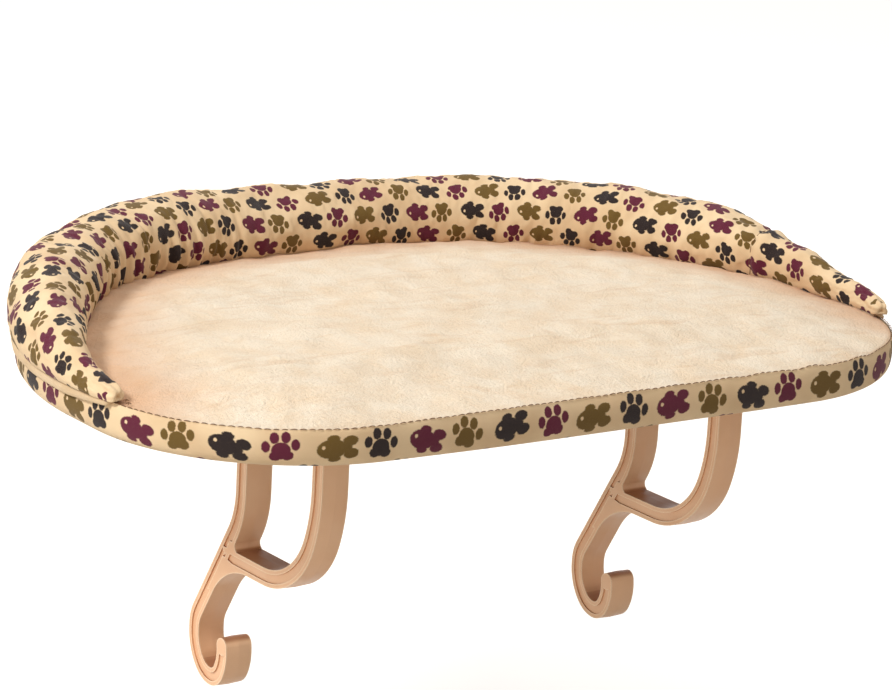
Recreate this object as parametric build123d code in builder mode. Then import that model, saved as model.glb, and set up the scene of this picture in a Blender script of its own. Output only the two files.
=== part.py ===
"""Window mounted cat perch: a padded bed on a board, with two scroll brackets that brace it below a sill.

X runs along the window, Y points at the window, Z is up.
The origin is the middle of the underside of the adhesive tape, where the perch sits on the sill.
"""
import os
from math import cos, radians, sin, tan

from build123d import *

# Pad plan
pad_length = 610.0
pad_depth = 428.0
front_corner_radius = 134.0
rear_corner_size = 262.0
least_straight = 2.0  # left between two corners, however short the pad
tape_setback = 95.0  # rear edge of the pad to the middle of the sill tape

# Tape stack on the sill
tape_length = 400.0
tape_width = 25.0
tape_corner_radius = 5.0
hook_thickness = 1.2
loop_thickness = 1.2
adhesive_thickness = 0.4

# Board and cover
board_thickness = 9.5
board_inset = 7.0
panel_inset = 8.5
panel_thickness = 1.2
seam_height = 24.0  # underside of the cover to the seam between fleece and printed band
band_thickness = 1.5
band_foot_inset = 7.0
band_foot_rise = 5.0
band_bulge = 1.5
band_bulge_rise = 13.0

# Foam and fleece
foam_inset = 1.9
foam_waist_inset = 0.8
foam_shoulder_drop = 3.0
crown_height = 10.0
crown_run = 95.0
crown_shoulder_share = 0.42
crown_shoulder_rise_share = 0.68
pile_thickness = 3.0
fleece_inset = 1.6

# Bolster
bolster_radius = 27.0
bolster_inset = 14.0
bolster_rise_share = 0.74  # height of the tube's centre over the seam, as a share of its radius
bolster_cloth = 1.2
bolster_tip_radius = 7.0
bolster_tip_angle = 15.0  # turn round the front corner at which the tube ends
taper_corner_angle = 36.0  # turn of the rear corner that already narrows
taper_steps = 6
taper_power_share = 1.2
cross_seam_angle = 22.0  # place of the cross seam, in the right rear corner
cross_seam_depth = 0.8
cross_seam_width = 1.6
flange_height = 1.8
flange_overhang = 3.0
flange_tuck = 5.0

# Brackets
bracket_spacing = 320.0
bracket_width = 20.0
bracket_draft = 2.5
strip = 13.0  # thickness of the moulded scroll
wall_to_tape = 101.0
rail_thickness = 7.0
rail_wall_gap = 3.0
slide_travel = 20.0
rear_arm_reach = 59.0  # wall to the middle of the arm next to it
front_arm_reach = 150.0
crossbar_drop = 116.5
foot_drop = 177.5  # underside to the middle of the flat that bears on the wall
foot_flat_depth = 0.4
foot_straight = 2.0
foot_flat_height = 20.0  # room for the cut that makes the flat
leg_lean = 32.0
leg_upper_radius = 58.0
leg_lower_radius = 24.0
bow_upper_radius = 110.0  # curve that turns the front arm into the crossbar
bow_lower_radius = 57.0
bow_upper_turn = 20.0
curl_radii = (30.0, 19.0, 12.0, 28.0)
curl_turns = (45.0, 45.0, 60.0, 40.0)
arch_run = 27.0  # tangent length of the wide fillet under the crossbar
crotch_run = 7.0  # and of the small one above it
rail_fillet_radius = 4.0
groove_width_share = 0.46
groove_depth = 1.2
rail_gap = 0.3  # rail to cover

# Fasteners
bolt_diameter = 5.0
bolt_head_diameter = 13.0
bolt_head_height = 2.2
bolt_fit = 0.05
bolt_end = 3.0  # shank past the wing nut
slot_clearance = 0.25
cover_hole_diameter = 9.0
washer_diameter = 12.0
washer_thickness = 1.0
rear_bolt_reach = 14.0
front_bolt_reach = 84.0
nut_boss_diameter = 9.0
nut_boss_height = 5.5
wing_span = 24.0
wing_height = 12.0
wing_thickness = 2.2
wing_lean = 12.0
nut_seat_gap = 0.2

# Zipper
zipper_setback = 55.0  # front edge of the pad to the zipper's middle line
zipper_length = 440.0
zipper_slit = 6.4
zip_tape_width = 12.0
zip_tape_thickness = 0.8
tooth_pitch = 5.0
tooth_length = 2.4
tooth_row_width = 1.6
tooth_row_gap = 1.4
tooth_core = 0.7
tooth_height = 1.5
stop_length = 4.0
slider_length = 12.0
slider_width = 8.0
slider_corner_radius = 2.0
slider_plate = 1.2
slider_inner_plate = 0.5
slider_inner_width = 5.6
slider_running_gap = 0.25
slider_post_width = 1.0
slider_post_length = 3.0
bail_radius = 0.8
bail_width = 6.4
bail_leg = 1.2
bail_drop = 2.0
pull_length = 24.0
pull_width = 3.6
pull_thickness = 1.6
pull_corner_radius = 1.2
pull_eye_fit = 0.1
pull_gap = 0.3

overrun = 1.0

# Sizes and levels that follow
rear_corner_room = min(pad_length / 2, pad_depth - front_corner_radius) - least_straight
rear_corner_radius = min(rear_corner_size, rear_corner_room)
side_straight = pad_depth - front_corner_radius - rear_corner_radius
z_under = hook_thickness + loop_thickness + adhesive_thickness
z_panel_top = z_under + panel_thickness
z_board_top = z_panel_top + board_thickness
z_seam = z_under + seam_height
y_rear = tape_setback
y_front = tape_setback - pad_depth
y_wall = -wall_to_tape
z_rail_top = z_under - rail_gap
groove_width = groove_width_share * strip
bracket_half_width = bracket_width / 2
leg_slope = radians(leg_lean)
foot_reach = strip / 2 - foot_flat_depth
leg_arcs = leg_upper_radius + leg_lower_radius
leg_run = rear_arm_reach - foot_reach - leg_arcs * (1 - cos(leg_slope))
leg_end_drop = foot_drop - foot_straight / 2 - leg_lower_radius * sin(leg_slope)
leg_start_drop = leg_end_drop - leg_run / tan(leg_slope)
arm_end_drop = leg_start_drop - leg_upper_radius * sin(leg_slope)

os.makedirs("parts", exist_ok=True)


def draw_outline(inset):
    """Face of the pad's plan outline, moved inward by inset, in the open sketch."""
    half = pad_length / 2 - inset
    front = y_front + inset
    rear = y_rear - inset
    front_radius = front_corner_radius - inset
    rear_radius = rear_corner_radius - inset
    with BuildLine() as outline:
        Line((front_radius - half, front), (half - front_radius, front))
        CenterArc((half - front_radius, front + front_radius), front_radius, 270, 90)
        Line((half, front + front_radius), (half, rear - rear_radius))
        CenterArc((half - rear_radius, rear - rear_radius), rear_radius, 0, 90)
        Line((half - rear_radius, rear), (rear_radius - half, rear))
        CenterArc((rear_radius - half, rear - rear_radius), rear_radius, 90, 90)
        Line((-half, rear - rear_radius), (-half, front + front_radius))
        CenterArc((front_radius - half, front + front_radius), front_radius, 180, 90)
    make_face(outline.edges())


def loft_outlines(stations):
    """Loft the plan outline through (height, inset) stations in the open part."""
    sections = []
    for height, inset in stations:
        with BuildSketch(Plane.XY.offset(height)) as section:
            draw_outline(inset)
        sections.append(section.sketch)
    loft(sections)


def save(part, name):
    """Label a finished piece and write its STEP file."""
    part.label = name
    export_step(part, f"parts/{name}.step")


# Bolt places on the board
bolt_places = [
    (side * bracket_spacing / 2, y_wall - reach)
    for side in (-1, 1)
    for reach in (rear_bolt_reach, front_bolt_reach)
]
y_zipper = y_front + zipper_setback

# Sill tapes, from the sill upward
tape_levels = {
    "adhesive_tape": (0, adhesive_thickness),
    "loop_tape": (adhesive_thickness, loop_thickness),
    "hook_tape": (adhesive_thickness + loop_thickness, hook_thickness),
}
for tape_name, (level, thickness) in tape_levels.items():
    with BuildPart() as tape:
        with BuildSketch(Plane.XY.offset(level)):
            RectangleRounded(tape_length, tape_width, tape_corner_radius)
        extrude(amount=thickness)
    save(tape.part, tape_name)

# Cover underside
with BuildPart() as cover_underside:
    with BuildSketch(Plane.XY.offset(z_under)):
        draw_outline(panel_inset)
        with Locations((0, y_zipper)):
            Rectangle(zipper_length, zipper_slit, mode=Mode.SUBTRACT)
        with Locations(*bolt_places):
            Circle(cover_hole_diameter / 2, mode=Mode.SUBTRACT)
    extrude(amount=panel_thickness)
save(cover_underside.part, "cover_underside")

# Base board
with BuildPart() as base_board:
    with BuildSketch(Plane.XY.offset(z_panel_top)):
        draw_outline(board_inset)
    extrude(amount=board_thickness)
    with Locations(*[(x, y, z_board_top) for x, y in bolt_places]):
        CounterBoreHole(
            bolt_diameter / 2 + bolt_fit,
            bolt_head_diameter / 2 + bolt_fit,
            bolt_head_height,
        )
save(base_board.part, "base_board")

# Foam pad
foam_shoulder = z_seam - foam_shoulder_drop
with BuildPart() as foam_pad:
    loft_outlines(
        [
            (z_board_top, foam_inset),
            ((z_board_top + foam_shoulder) / 2, foam_waist_inset),
            (foam_shoulder, foam_inset),
        ]
    )
    loft_outlines(
        [
            (foam_shoulder, foam_inset),
            (
                foam_shoulder + crown_height * crown_shoulder_rise_share,
                foam_inset + crown_run * crown_shoulder_share,
            ),
            (foam_shoulder + crown_height, foam_inset + crown_run),
        ]
    )
save(foam_pad.part, "foam_pad")

# Fleece top
with BuildPart() as fleece_top:
    with BuildSketch(Plane.XY.offset(foam_shoulder)):
        draw_outline(fleece_inset)
    extrude(amount=foam_shoulder_drop)
    loft_outlines(
        [
            (z_seam, fleece_inset),
            (
                z_seam + crown_height * crown_shoulder_rise_share,
                fleece_inset + crown_run * crown_shoulder_share,
            ),
            (foam_shoulder + crown_height + pile_thickness, foam_inset + crown_run),
        ]
    )
    add(foam_pad.part, mode=Mode.SUBTRACT)
save(fleece_top.part, "fleece_top")


def loft_band(inset):
    """Rounded side of the pad as a solid, moved inward by inset."""
    with BuildPart() as side:
        loft_outlines(
            [
                (z_under, band_foot_inset + inset),
                (z_under + band_foot_rise, inset),
                (z_under + band_bulge_rise, inset - band_bulge),
                (z_seam, inset),
            ]
        )
    return side.part


# Printed band round the edge of the pad
band_solid = loft_band(0)
with BuildPart() as printed_band:
    add(band_solid)
    add(loft_band(band_thickness), mode=Mode.SUBTRACT)
save(printed_band.part, "printed_band")

# Everything that the bolster rests on, as one block
with BuildPart() as pad_block:
    add(band_solid)
    add(foam_pad.part)
    add(fleece_top.part)

# Bolster tube, its left half first
tube_half = pad_length / 2 - bolster_inset
tube_front_radius = front_corner_radius - bolster_inset
tube_rear_radius = rear_corner_radius - bolster_inset
tube_rear = y_rear - bolster_inset
y_corner = y_front + front_corner_radius
taper_corner_run = tube_rear_radius * radians(taper_corner_angle)
taper_tip_run = tube_front_radius * radians(bolster_tip_angle)
taper_length = taper_corner_run + side_straight + taper_tip_run


def tube_height(radius):
    """Height of the tube's centre where it has this radius."""
    return z_seam + bolster_rise_share * radius


def taper_plane(distance, radius):
    """Section plane of the narrowing end, a distance along it from where it starts."""
    height = tube_height(radius)
    if distance < taper_corner_run:
        turn = radians(taper_corner_angle) - distance / tube_rear_radius
        centre = (
            tube_rear_radius * (1 - cos(turn)) - tube_half,
            y_corner + side_straight + tube_rear_radius * sin(turn),
            height,
        )
        return Plane(centre, x_dir=(cos(turn), -sin(turn), 0), z_dir=(-sin(turn), -cos(turn), 0))
    past_corner = distance - taper_corner_run
    if past_corner <= side_straight:
        centre = (-tube_half, y_corner + side_straight - past_corner, height)
        return Plane(centre, x_dir=(1, 0, 0), z_dir=(0, -1, 0))
    turn = (past_corner - side_straight) / tube_front_radius
    centre = (
        tube_front_radius * (1 - cos(turn)) - tube_half,
        y_corner - tube_front_radius * sin(turn),
        height,
    )
    return Plane(centre, x_dir=(cos(turn), sin(turn), 0), z_dir=(sin(turn), -cos(turn), 0))


def taper_radius(distance):
    """Radius of the narrowing end, from full at its start to the tip's."""
    share = max(distance, 0) / taper_length
    return bolster_radius - (bolster_radius - bolster_tip_radius) * share**taper_power_share


def build_tube(cloth):
    """Bolster tube as one solid, thinner all round by cloth."""
    with BuildPart() as half_tube:
        height = tube_height(bolster_radius)
        with BuildLine(Plane.XY.offset(height)) as route:
            Line((0, tube_rear), (tube_rear_radius - tube_half, tube_rear))
            CenterArc(
                (tube_rear_radius - tube_half, tube_rear - tube_rear_radius),
                tube_rear_radius,
                90,
                90 - taper_corner_angle,
            )
        with BuildSketch(Plane((0, tube_rear, height), x_dir=(0, 1, 0), z_dir=(-1, 0, 0))):
            Circle(bolster_radius - cloth)
        sweep(path=route.wires()[0])
        for step in range(taper_steps + 1):
            distance = taper_length * step / taper_steps
            radius = taper_radius(distance)
            with BuildSketch(taper_plane(distance, radius)):
                Circle(radius - cloth)
        loft()
        tip_radius = taper_radius(taper_length)
        with Locations(taper_plane(taper_length, tip_radius)):
            Sphere(tip_radius - cloth)
        mirror(about=Plane.YZ)
    return half_tube.part


def seam_plane(radius):
    """Plane across the tube at the cross seam, where the tube has this radius."""
    turn = radians(cross_seam_angle)
    centre = (
        tube_half - tube_rear_radius * (1 - cos(turn)),
        tube_rear - tube_rear_radius * (1 - sin(turn)),
        tube_height(radius),
    )
    return Plane(centre, x_dir=(cos(turn), sin(turn), 0), z_dir=(-sin(turn), cos(turn), 0))


# Flange sewn between the bolster and the printed band
y_tip = y_corner - tube_front_radius * sin(radians(bolster_tip_angle))
with BuildPart() as bolster_flange:
    with BuildSketch(Plane.XY.offset(z_seam)):
        draw_outline(-flange_overhang)
        with BuildSketch(mode=Mode.SUBTRACT):
            draw_outline(flange_tuck)
        with Locations((0, y_tip)):
            Rectangle(
                pad_length + pad_depth,
                2 * (y_tip - y_front + flange_overhang),
                align=(Align.CENTER, Align.MAX),
                mode=Mode.SUBTRACT,
            )
    extrude(amount=flange_height)
    add(fleece_top.part, mode=Mode.SUBTRACT)
save(bolster_flange.part, "bolster_flange")

# Bolster filling and printed cloth, cut flat where they are sewn down on the flange
z_sewn = z_seam + flange_height
inner_tube = build_tube(bolster_cloth)
with BuildPart() as bolster_fill:
    add(inner_tube)
    split(bisect_by=Plane.XY.offset(z_sewn), keep=Keep.TOP)
    add(pad_block.part, mode=Mode.SUBTRACT)
save(bolster_fill.part, "bolster_fill")

seam_radius = taper_radius(taper_corner_run - tube_rear_radius * radians(cross_seam_angle))
with BuildPart() as seam_ring:
    with BuildSketch(seam_plane(seam_radius)):
        Circle(seam_radius + overrun)
        Circle(seam_radius - cross_seam_depth, mode=Mode.SUBTRACT)
    extrude(amount=cross_seam_width / 2, both=True)

with BuildPart() as bolster_cover:
    add(build_tube(0))
    add(inner_tube, mode=Mode.SUBTRACT)
    split(bisect_by=Plane.XY.offset(z_sewn), keep=Keep.TOP)
    add(pad_block.part, mode=Mode.SUBTRACT)
    add(seam_ring.part, mode=Mode.SUBTRACT)
save(bolster_cover.part, "bolster_cover")


def bracket_point(reach, drop):
    """Point across the bracket from its reach off the wall and its drop below the cover."""
    return (y_wall - reach, z_under - drop)


def leg_reach(drop):
    """Reach of the leg's middle line at a drop."""
    leg_start_reach = rear_arm_reach - leg_upper_radius * (1 - cos(leg_slope))
    return leg_start_reach - (drop - leg_start_drop) * tan(leg_slope)


def draw_rear_route():
    """Middle line of the arm next to the wall, the leg and the curl, in the open line."""
    rear_arm = Line(
        bracket_point(rear_arm_reach, rail_thickness),
        bracket_point(rear_arm_reach, arm_end_drop),
    )
    upper = JernArc(rear_arm @ 1, rear_arm % 1, leg_upper_radius, leg_lean)
    leg = Line(upper @ 1, bracket_point(leg_reach(leg_end_drop), leg_end_drop))
    lower = JernArc(leg @ 1, leg % 1, leg_lower_radius, -leg_lean)
    last = Line(lower @ 1, bracket_point(foot_reach, foot_drop + foot_straight / 2))
    for radius, turn in zip(curl_radii, curl_turns):
        last = JernArc(last @ 1, last % 1, radius, -turn)
    return last @ 1


def draw_front_route():
    """Middle line of the arm toward the room and of the crossbar, in the open line."""
    bow_turn = radians(bow_upper_turn)
    bow_drop = bow_upper_radius * sin(bow_turn) + bow_lower_radius * (1 - sin(bow_turn))
    front_arm = Line(
        bracket_point(front_arm_reach, rail_thickness),
        bracket_point(front_arm_reach, crossbar_drop - bow_drop),
    )
    upper = JernArc(front_arm @ 1, front_arm % 1, bow_upper_radius, bow_upper_turn)
    lower = JernArc(upper @ 1, upper % 1, bow_lower_radius, 90 - bow_upper_turn)
    Line(lower @ 1, bracket_point(leg_reach(crossbar_drop), crossbar_drop))


def sweep_strip(route):
    """Moulded strip along a route: drafted both ways from a ridge, with a groove on each face."""
    ridge = strip / 2
    face = ridge - bracket_half_width * tan(radians(bracket_draft))
    start = Plane(route @ 0, x_dir=(1, 0, 0), z_dir=route % 0)
    with BuildPart() as swept:
        with BuildSketch(start):
            with BuildLine() as edge:
                Polyline(
                    (-bracket_half_width, -face),
                    (0, -ridge),
                    (bracket_half_width, -face),
                    (bracket_half_width, face),
                    (0, ridge),
                    (-bracket_half_width, face),
                    close=True,
                )
            make_face(edge.edges())
            with Locations((bracket_half_width, 0), (-bracket_half_width, 0)):
                Rectangle(2 * groove_depth, groove_width, mode=Mode.SUBTRACT)
        sweep(path=route)
    return swept.part


def fill_corner(middle, start, end, tangent, inner):
    """Fillet between two strips in the open part: an arc from start to end, closed over inner."""
    with BuildSketch(Plane.YZ.offset(middle)) as corner:
        with BuildLine() as edge:
            TangentArc(start, end, tangent=tangent)
            Polyline(end, *inner, start)
        make_face(edge.edges())
    extrude(corner.sketch, amount=bracket_half_width, both=True, taper=bracket_draft)


def fill_leg_corner(middle, side, run):
    """Fillet between the leg and the crossbar's lower (1) or upper (-1) edge."""
    edge_drop = crossbar_drop + side * strip / 2
    corner_reach = leg_reach(edge_drop) + strip / 2 / cos(leg_slope)
    end_drop = edge_drop + side * run * cos(leg_slope)
    end_reach = corner_reach - side * run * sin(leg_slope)
    fill_corner(
        middle,
        bracket_point(corner_reach + run, edge_drop),
        bracket_point(end_reach, end_drop),
        (1, 0),
        [
            bracket_point(leg_reach(end_drop), end_drop),
            bracket_point(leg_reach(crossbar_drop), crossbar_drop),
        ],
    )


def fill_rail_corner(middle, arm_reach, away):
    """Fillet between the rail and an arm, on the arm's side away from (1) or toward the wall (-1)."""
    side_reach = arm_reach + away * strip / 2
    run_reach = side_reach + away * rail_fillet_radius
    rail_bottom = rail_gap + rail_thickness
    rail_middle = rail_gap + rail_thickness / 2
    fill_corner(
        middle,
        bracket_point(run_reach, rail_bottom),
        bracket_point(side_reach, rail_bottom + rail_fillet_radius),
        (away, 0),
        [
            bracket_point(arm_reach, rail_bottom + rail_fillet_radius),
            bracket_point(arm_reach, rail_middle),
            bracket_point(run_reach, rail_middle),
        ],
    )


def build_bracket(side):
    """One moulded bracket on its side of the middle."""
    middle = side * bracket_spacing / 2
    rail_length = front_arm_reach + strip / 2 - rail_wall_gap
    rail_middle = rail_wall_gap + rail_length / 2
    with BuildLine(Plane.YZ.offset(middle)) as rear_route:
        tip = draw_rear_route()
    with BuildLine(Plane.YZ.offset(middle)) as front_route:
        draw_front_route()
    with BuildPart() as bracket:
        add(sweep_strip(rear_route.wires()[0]))
        add(sweep_strip(front_route.wires()[0]))
        fill_leg_corner(middle, 1, arch_run)
        fill_leg_corner(middle, -1, crotch_run)
        fill_rail_corner(middle, rear_arm_reach, -1)
        fill_rail_corner(middle, rear_arm_reach, 1)
        fill_rail_corner(middle, front_arm_reach, -1)
        with BuildSketch(Plane.YZ.offset(middle)):
            with Locations((tip.Y, tip.Z)):
                Circle(strip / 2)
            with Locations(bracket_point(rail_middle, rail_gap + rail_thickness / 2)):
                Rectangle(rail_length, rail_thickness)
        extrude(amount=bracket_half_width, both=True, taper=bracket_draft)
        with Locations((middle, y_wall, z_under - foot_drop)):
            Box(
                bracket_width + overrun,
                strip,
                foot_flat_height,
                align=(Align.CENTER, Align.MIN, Align.CENTER),
                mode=Mode.SUBTRACT,
            )
        with BuildSketch(Plane.XY.offset(z_rail_top)):
            for reach in (rear_bolt_reach, front_bolt_reach):
                with Locations((middle, y_wall - reach - slide_travel / 2)):
                    SlotCenterToCenter(
                        slide_travel, bolt_diameter + 2 * slot_clearance, rotation=90
                    )
        extrude(amount=-rail_thickness - overrun, mode=Mode.SUBTRACT)
    return bracket.part


for side_name, side in (("left", -1), ("right", 1)):
    save(build_bracket(side), f"{side_name}_bracket")

# Bolts through the board and the rails, with their washers
z_rail_bottom = z_rail_top - rail_thickness
z_washer_top = z_rail_bottom - nut_seat_gap
z_nut_top = z_washer_top - washer_thickness - nut_seat_gap
z_bolt_end = z_nut_top - nut_boss_height - bolt_end
with BuildPart() as carriage_bolts:
    with Locations(*[(x, y, z_board_top) for x, y in bolt_places]):
        Cylinder(
            bolt_head_diameter / 2,
            bolt_head_height,
            align=(Align.CENTER, Align.CENTER, Align.MAX),
        )
        Cylinder(
            bolt_diameter / 2,
            z_board_top - z_bolt_end,
            align=(Align.CENTER, Align.CENTER, Align.MAX),
        )
save(carriage_bolts.part, "carriage_bolts")

with BuildPart() as flat_washers:
    with BuildSketch(Plane.XY.offset(z_washer_top)):
        with Locations(*bolt_places):
            Circle(washer_diameter / 2)
            Circle(bolt_diameter / 2 + slot_clearance, mode=Mode.SUBTRACT)
    extrude(amount=-washer_thickness)
save(flat_washers.part, "flat_washers")


def build_wing_nut(place):
    """Wing nut on the bolt at a place on the board, wings down."""
    x, y = place
    boss_top = nut_boss_diameter / 2 - nut_boss_height * tan(radians(wing_lean))
    with BuildPart() as nut:
        with BuildSketch(Plane((x, y, z_nut_top), x_dir=(1, 0, 0), z_dir=(0, 0, -1))):
            Circle(nut_boss_diameter / 2)
        extrude(amount=nut_boss_height, taper=wing_lean)
        with BuildSketch(Plane((x, y, z_nut_top), x_dir=(1, 0, 0), z_dir=(0, 1, 0))) as wings:
            for wing_side in (-1, 1):
                with BuildLine() as edge:
                    Polyline(
                        (0, wing_thickness),
                        (wing_side * nut_boss_diameter / 2, wing_thickness / 2),
                        (wing_side * wing_span / 2, nut_boss_height),
                        (wing_side * wing_span / 2, wing_height),
                        (wing_side * (wing_span - nut_boss_diameter) / 2, wing_height),
                        (wing_side * boss_top, nut_boss_height),
                        (0, nut_boss_height),
                        close=True,
                    )
                make_face(edge.edges())
        extrude(amount=wing_thickness / 2, both=True)
        round_corners = nut.edges().filter_by(Axis.Y).group_by(Axis.Z)[0]
        fillet(round_corners, wing_thickness)
        with Locations((x, y, z_nut_top)):
            Cylinder(bolt_diameter / 2 + bolt_fit, 2 * wing_height, mode=Mode.SUBTRACT)
    return nut.part


nut_names = ("left_rear", "left_front", "right_rear", "right_front")
for nut_name, place in zip(nut_names, bolt_places):
    save(build_wing_nut(place), f"{nut_name}_wing_nut")

# Zipper tapes, sewn flat to the underside
z_tape = z_under - zip_tape_thickness
tape_inner = tooth_row_gap / 2 + tooth_row_width
for zip_name, side in (("front", -1), ("rear", 1)):
    with BuildPart() as zip_tape:
        with BuildSketch(Plane.XY.offset(z_tape)):
            with Locations((0, y_zipper + side * (tape_inner + zip_tape_width / 2))):
                Rectangle(zipper_length, zip_tape_width)
        extrude(amount=zip_tape_thickness)
    save(zip_tape.part, f"zipper_tape_{zip_name}")

# Zipper teeth, one row on the edge of each tape
row_length = zipper_length - 2 * stop_length
tooth_count = int((row_length - tooth_pitch) // tooth_pitch)
z_tooth_middle = z_under - zip_tape_thickness / 2
with BuildPart() as zipper_teeth:
    for side in (-1, 1):
        y_row = y_zipper + side * (tooth_row_gap + tooth_row_width) / 2
        with Locations((0, y_row, z_tooth_middle)):
            Box(row_length, tooth_row_width, tooth_core)
            with GridLocations(tooth_pitch, 0, tooth_count, 1):
                Box(tooth_length, tooth_row_width, tooth_height)
save(zipper_teeth.part, "zipper_teeth")

with BuildPart() as zipper_stops:
    for side in (-1, 1):
        with Locations((side * (row_length + stop_length) / 2, y_zipper, z_tooth_middle)):
            Box(stop_length, 2 * tape_inner, tooth_height)
save(zipper_stops.part, "zipper_stops")

# Zipper slider and its pull, at the closed end
x_slider = (row_length - slider_length) / 2 - slider_running_gap
z_slider_top = z_tooth_middle - tooth_height / 2 - slider_running_gap
z_slider_bottom = z_slider_top - slider_plate
z_inner_plate = z_tooth_middle + tooth_height / 2 + slider_running_gap
z_bail = z_slider_bottom - bail_drop
with BuildPart() as zipper_slider:
    with BuildSketch(Plane.XY.offset(z_slider_bottom)):
        with Locations((x_slider, y_zipper)):
            RectangleRounded(slider_length, slider_width, slider_corner_radius)
    extrude(amount=slider_plate)
    with Locations((x_slider, y_zipper, z_inner_plate)):
        Box(
            slider_length,
            slider_inner_width,
            slider_inner_plate,
            align=(Align.CENTER, Align.CENTER, Align.MIN),
        )
    with Locations((x_slider + (slider_length - slider_post_length) / 2, y_zipper, z_slider_top)):
        Box(
            slider_post_length,
            slider_post_width,
            z_inner_plate - z_slider_top,
            align=(Align.CENTER, Align.CENTER, Align.MIN),
        )
    for side in (-1, 1):
        y_leg = y_zipper + side * (bail_width - bail_leg) / 2
        with BuildSketch(Plane((x_slider, y_leg, z_bail), x_dir=(1, 0, 0), z_dir=(0, 1, 0))):
            Circle(bail_radius)
            Rectangle(2 * bail_radius, bail_drop, align=(Align.CENTER, Align.MAX))
        extrude(amount=bail_leg / 2, both=True)
    with Locations((x_slider, y_zipper, z_bail)):
        Cylinder(bail_radius, bail_width, rotation=(90, 0, 0))
save(zipper_slider.part, "zipper_slider")

with BuildPart() as zipper_pull:
    with BuildSketch(Plane((x_slider, y_zipper, z_bail), x_dir=(1, 0, 0), z_dir=(0, 1, 0))):
        Circle(bail_drop - pull_gap)
        Rectangle(pull_length, pull_thickness, align=(Align.MIN, Align.CENTER))
        Circle(bail_radius + pull_eye_fit, mode=Mode.SUBTRACT)
    extrude(amount=pull_width / 2, both=True)
    fillet(zipper_pull.edges().filter_by(Axis.Z).group_by(Axis.X)[-1], pull_corner_radius)
save(zipper_pull.part, "zipper_pull")
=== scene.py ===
"""Window mounted cat perch: cloth, fleece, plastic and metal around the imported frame."""

import math

import bmesh
import bpy
import numpy as np
from mathutils import Matrix, Vector
from mathutils.geometry import delaunay_2d_cdt


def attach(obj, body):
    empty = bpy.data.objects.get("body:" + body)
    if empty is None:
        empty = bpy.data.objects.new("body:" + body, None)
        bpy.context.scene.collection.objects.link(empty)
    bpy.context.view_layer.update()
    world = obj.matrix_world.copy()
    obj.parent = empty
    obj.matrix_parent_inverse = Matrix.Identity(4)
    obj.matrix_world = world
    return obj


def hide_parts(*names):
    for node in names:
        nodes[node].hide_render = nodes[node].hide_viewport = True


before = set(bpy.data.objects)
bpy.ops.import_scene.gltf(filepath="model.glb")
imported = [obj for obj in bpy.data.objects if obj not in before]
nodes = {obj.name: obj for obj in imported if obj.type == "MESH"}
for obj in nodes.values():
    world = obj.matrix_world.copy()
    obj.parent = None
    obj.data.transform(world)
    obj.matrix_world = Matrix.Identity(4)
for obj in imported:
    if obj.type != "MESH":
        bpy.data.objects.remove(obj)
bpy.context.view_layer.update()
ROOT = "perch"
MM = 0.001

# Sizes of the CAD model that the cloth follows; lengths are in metres all through
PAD_LENGTH = 0.610
Y_FRONT = -0.333
Y_REAR = 0.095
FRONT_RADIUS = 0.134
REAR_RADIUS = 0.262
Z_SEAM = 0.0268
Z_CROWN = 0.0368
CROWN_RUN = 0.095
CROWN_POWER = 2.2
TUBE_RISE_SHARE = 0.74
FLANGE_HEIGHT = 0.0018

# Print repeat on the boxing and on the bolster: pitch along the run, row height, and
# millimetres to a unit of the printed shapes; and how far the rows are moved across the run
BOXING_PRINT = (0.0330, 0.0222, 1.04)
BOXING_ROW_SHIFT = 0.0229
BOLSTER_PRINT = (0.0252, 0.0162, 0.80)
BOLSTER_ROW_SHIFT = 0.0063
# Neighbours in a row that make one full repeat of two shapes and three inks
CELLS_A_REPEAT = 6
# A place on the print between its shapes, which the bolster's closed tips are cut from
PLAIN_SPOT = (0.0126, -0.0063)
PLAIN_SPOT_SCALE = 0.1

# Printed shapes as ellipses, each with its middle and half sizes in units; the paw's are mirrored
# from side to side and the fish's from top to bottom
PAW = (
    ((0.0, -1.6), (5.8, 5.2)),
    ((3.5, -4.6), (3.7, 3.0)),
    ((8.7, 1.4), (2.6, 3.4)),
    ((3.4, 6.4), (2.8, 3.5)),
)
FISH = (
    ((-2.4, 0.0), (9.2, 5.8)),
    ((9.2, 3.8), (4.8, 3.1)),
    ((-1.0, 6.0), (4.0, 2.2)),
    ((5.8, 0.8), (4.4, 2.2)),
)
FISH_EYE = ((-7.4, 1.3), (1.1, 1.1))
# How far each printed shape strays along and across its row, in units, and turns, in radians
PRINT_STRAY = (3.0, 1.6)
PRINT_TURN = 0.55
PRINT_FRAY = 1.1
PRINT_SEED = 3.0
# Added to cell numbers before a remainder is taken, so that none is negative
CELL_LIFT = 600.0
INK_BLACK = (28, 19, 24)
INK_PLUM = (92, 18, 50)
INK_OLIVE = (106, 82, 34)
PRINT_WEAVE = 0.0011

# Lamps: name, place, what they aim at, width, watts and colour
LAMPS = (
    ("key", (-2.50, -0.25, 2.10), (0.0, -0.15, 0.0), 0.8, 66.0, (1.0, 0.985, 0.96)),
    ("side", (-3.75, -1.175, -0.115), (0.0, -0.20, -0.10), 0.57, 44.0, (1.0, 0.97, 0.93)),
    ("overhead", (0.35, -0.3, 2.6), (0.0, -0.15, 0.0), 2.2, 27.0, (1.0, 0.98, 0.95)),
    ("fill", (1.3, -2.4, 0.6), (0.0, -0.15, 0.0), 2.0, 4.0, (1.0, 0.92, 0.84)),
    ("rear", (0.7, 1.9, 1.5), (0.0, -0.1, 0.0), 1.4, 9.0, (1.0, 1.0, 1.0)),
)
FLOOR_Z = -0.30
FLOOR_HALF = 14.0
FLOOR_COLOUR = (0.52, 0.49, 0.45, 1.0)
FLOOR_GLOW = 0.78
WHITE = (1.0, 1.0, 1.0, 1.0)
WORLD_COLOUR = (1.0, 0.91, 0.82, 1.0)
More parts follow.
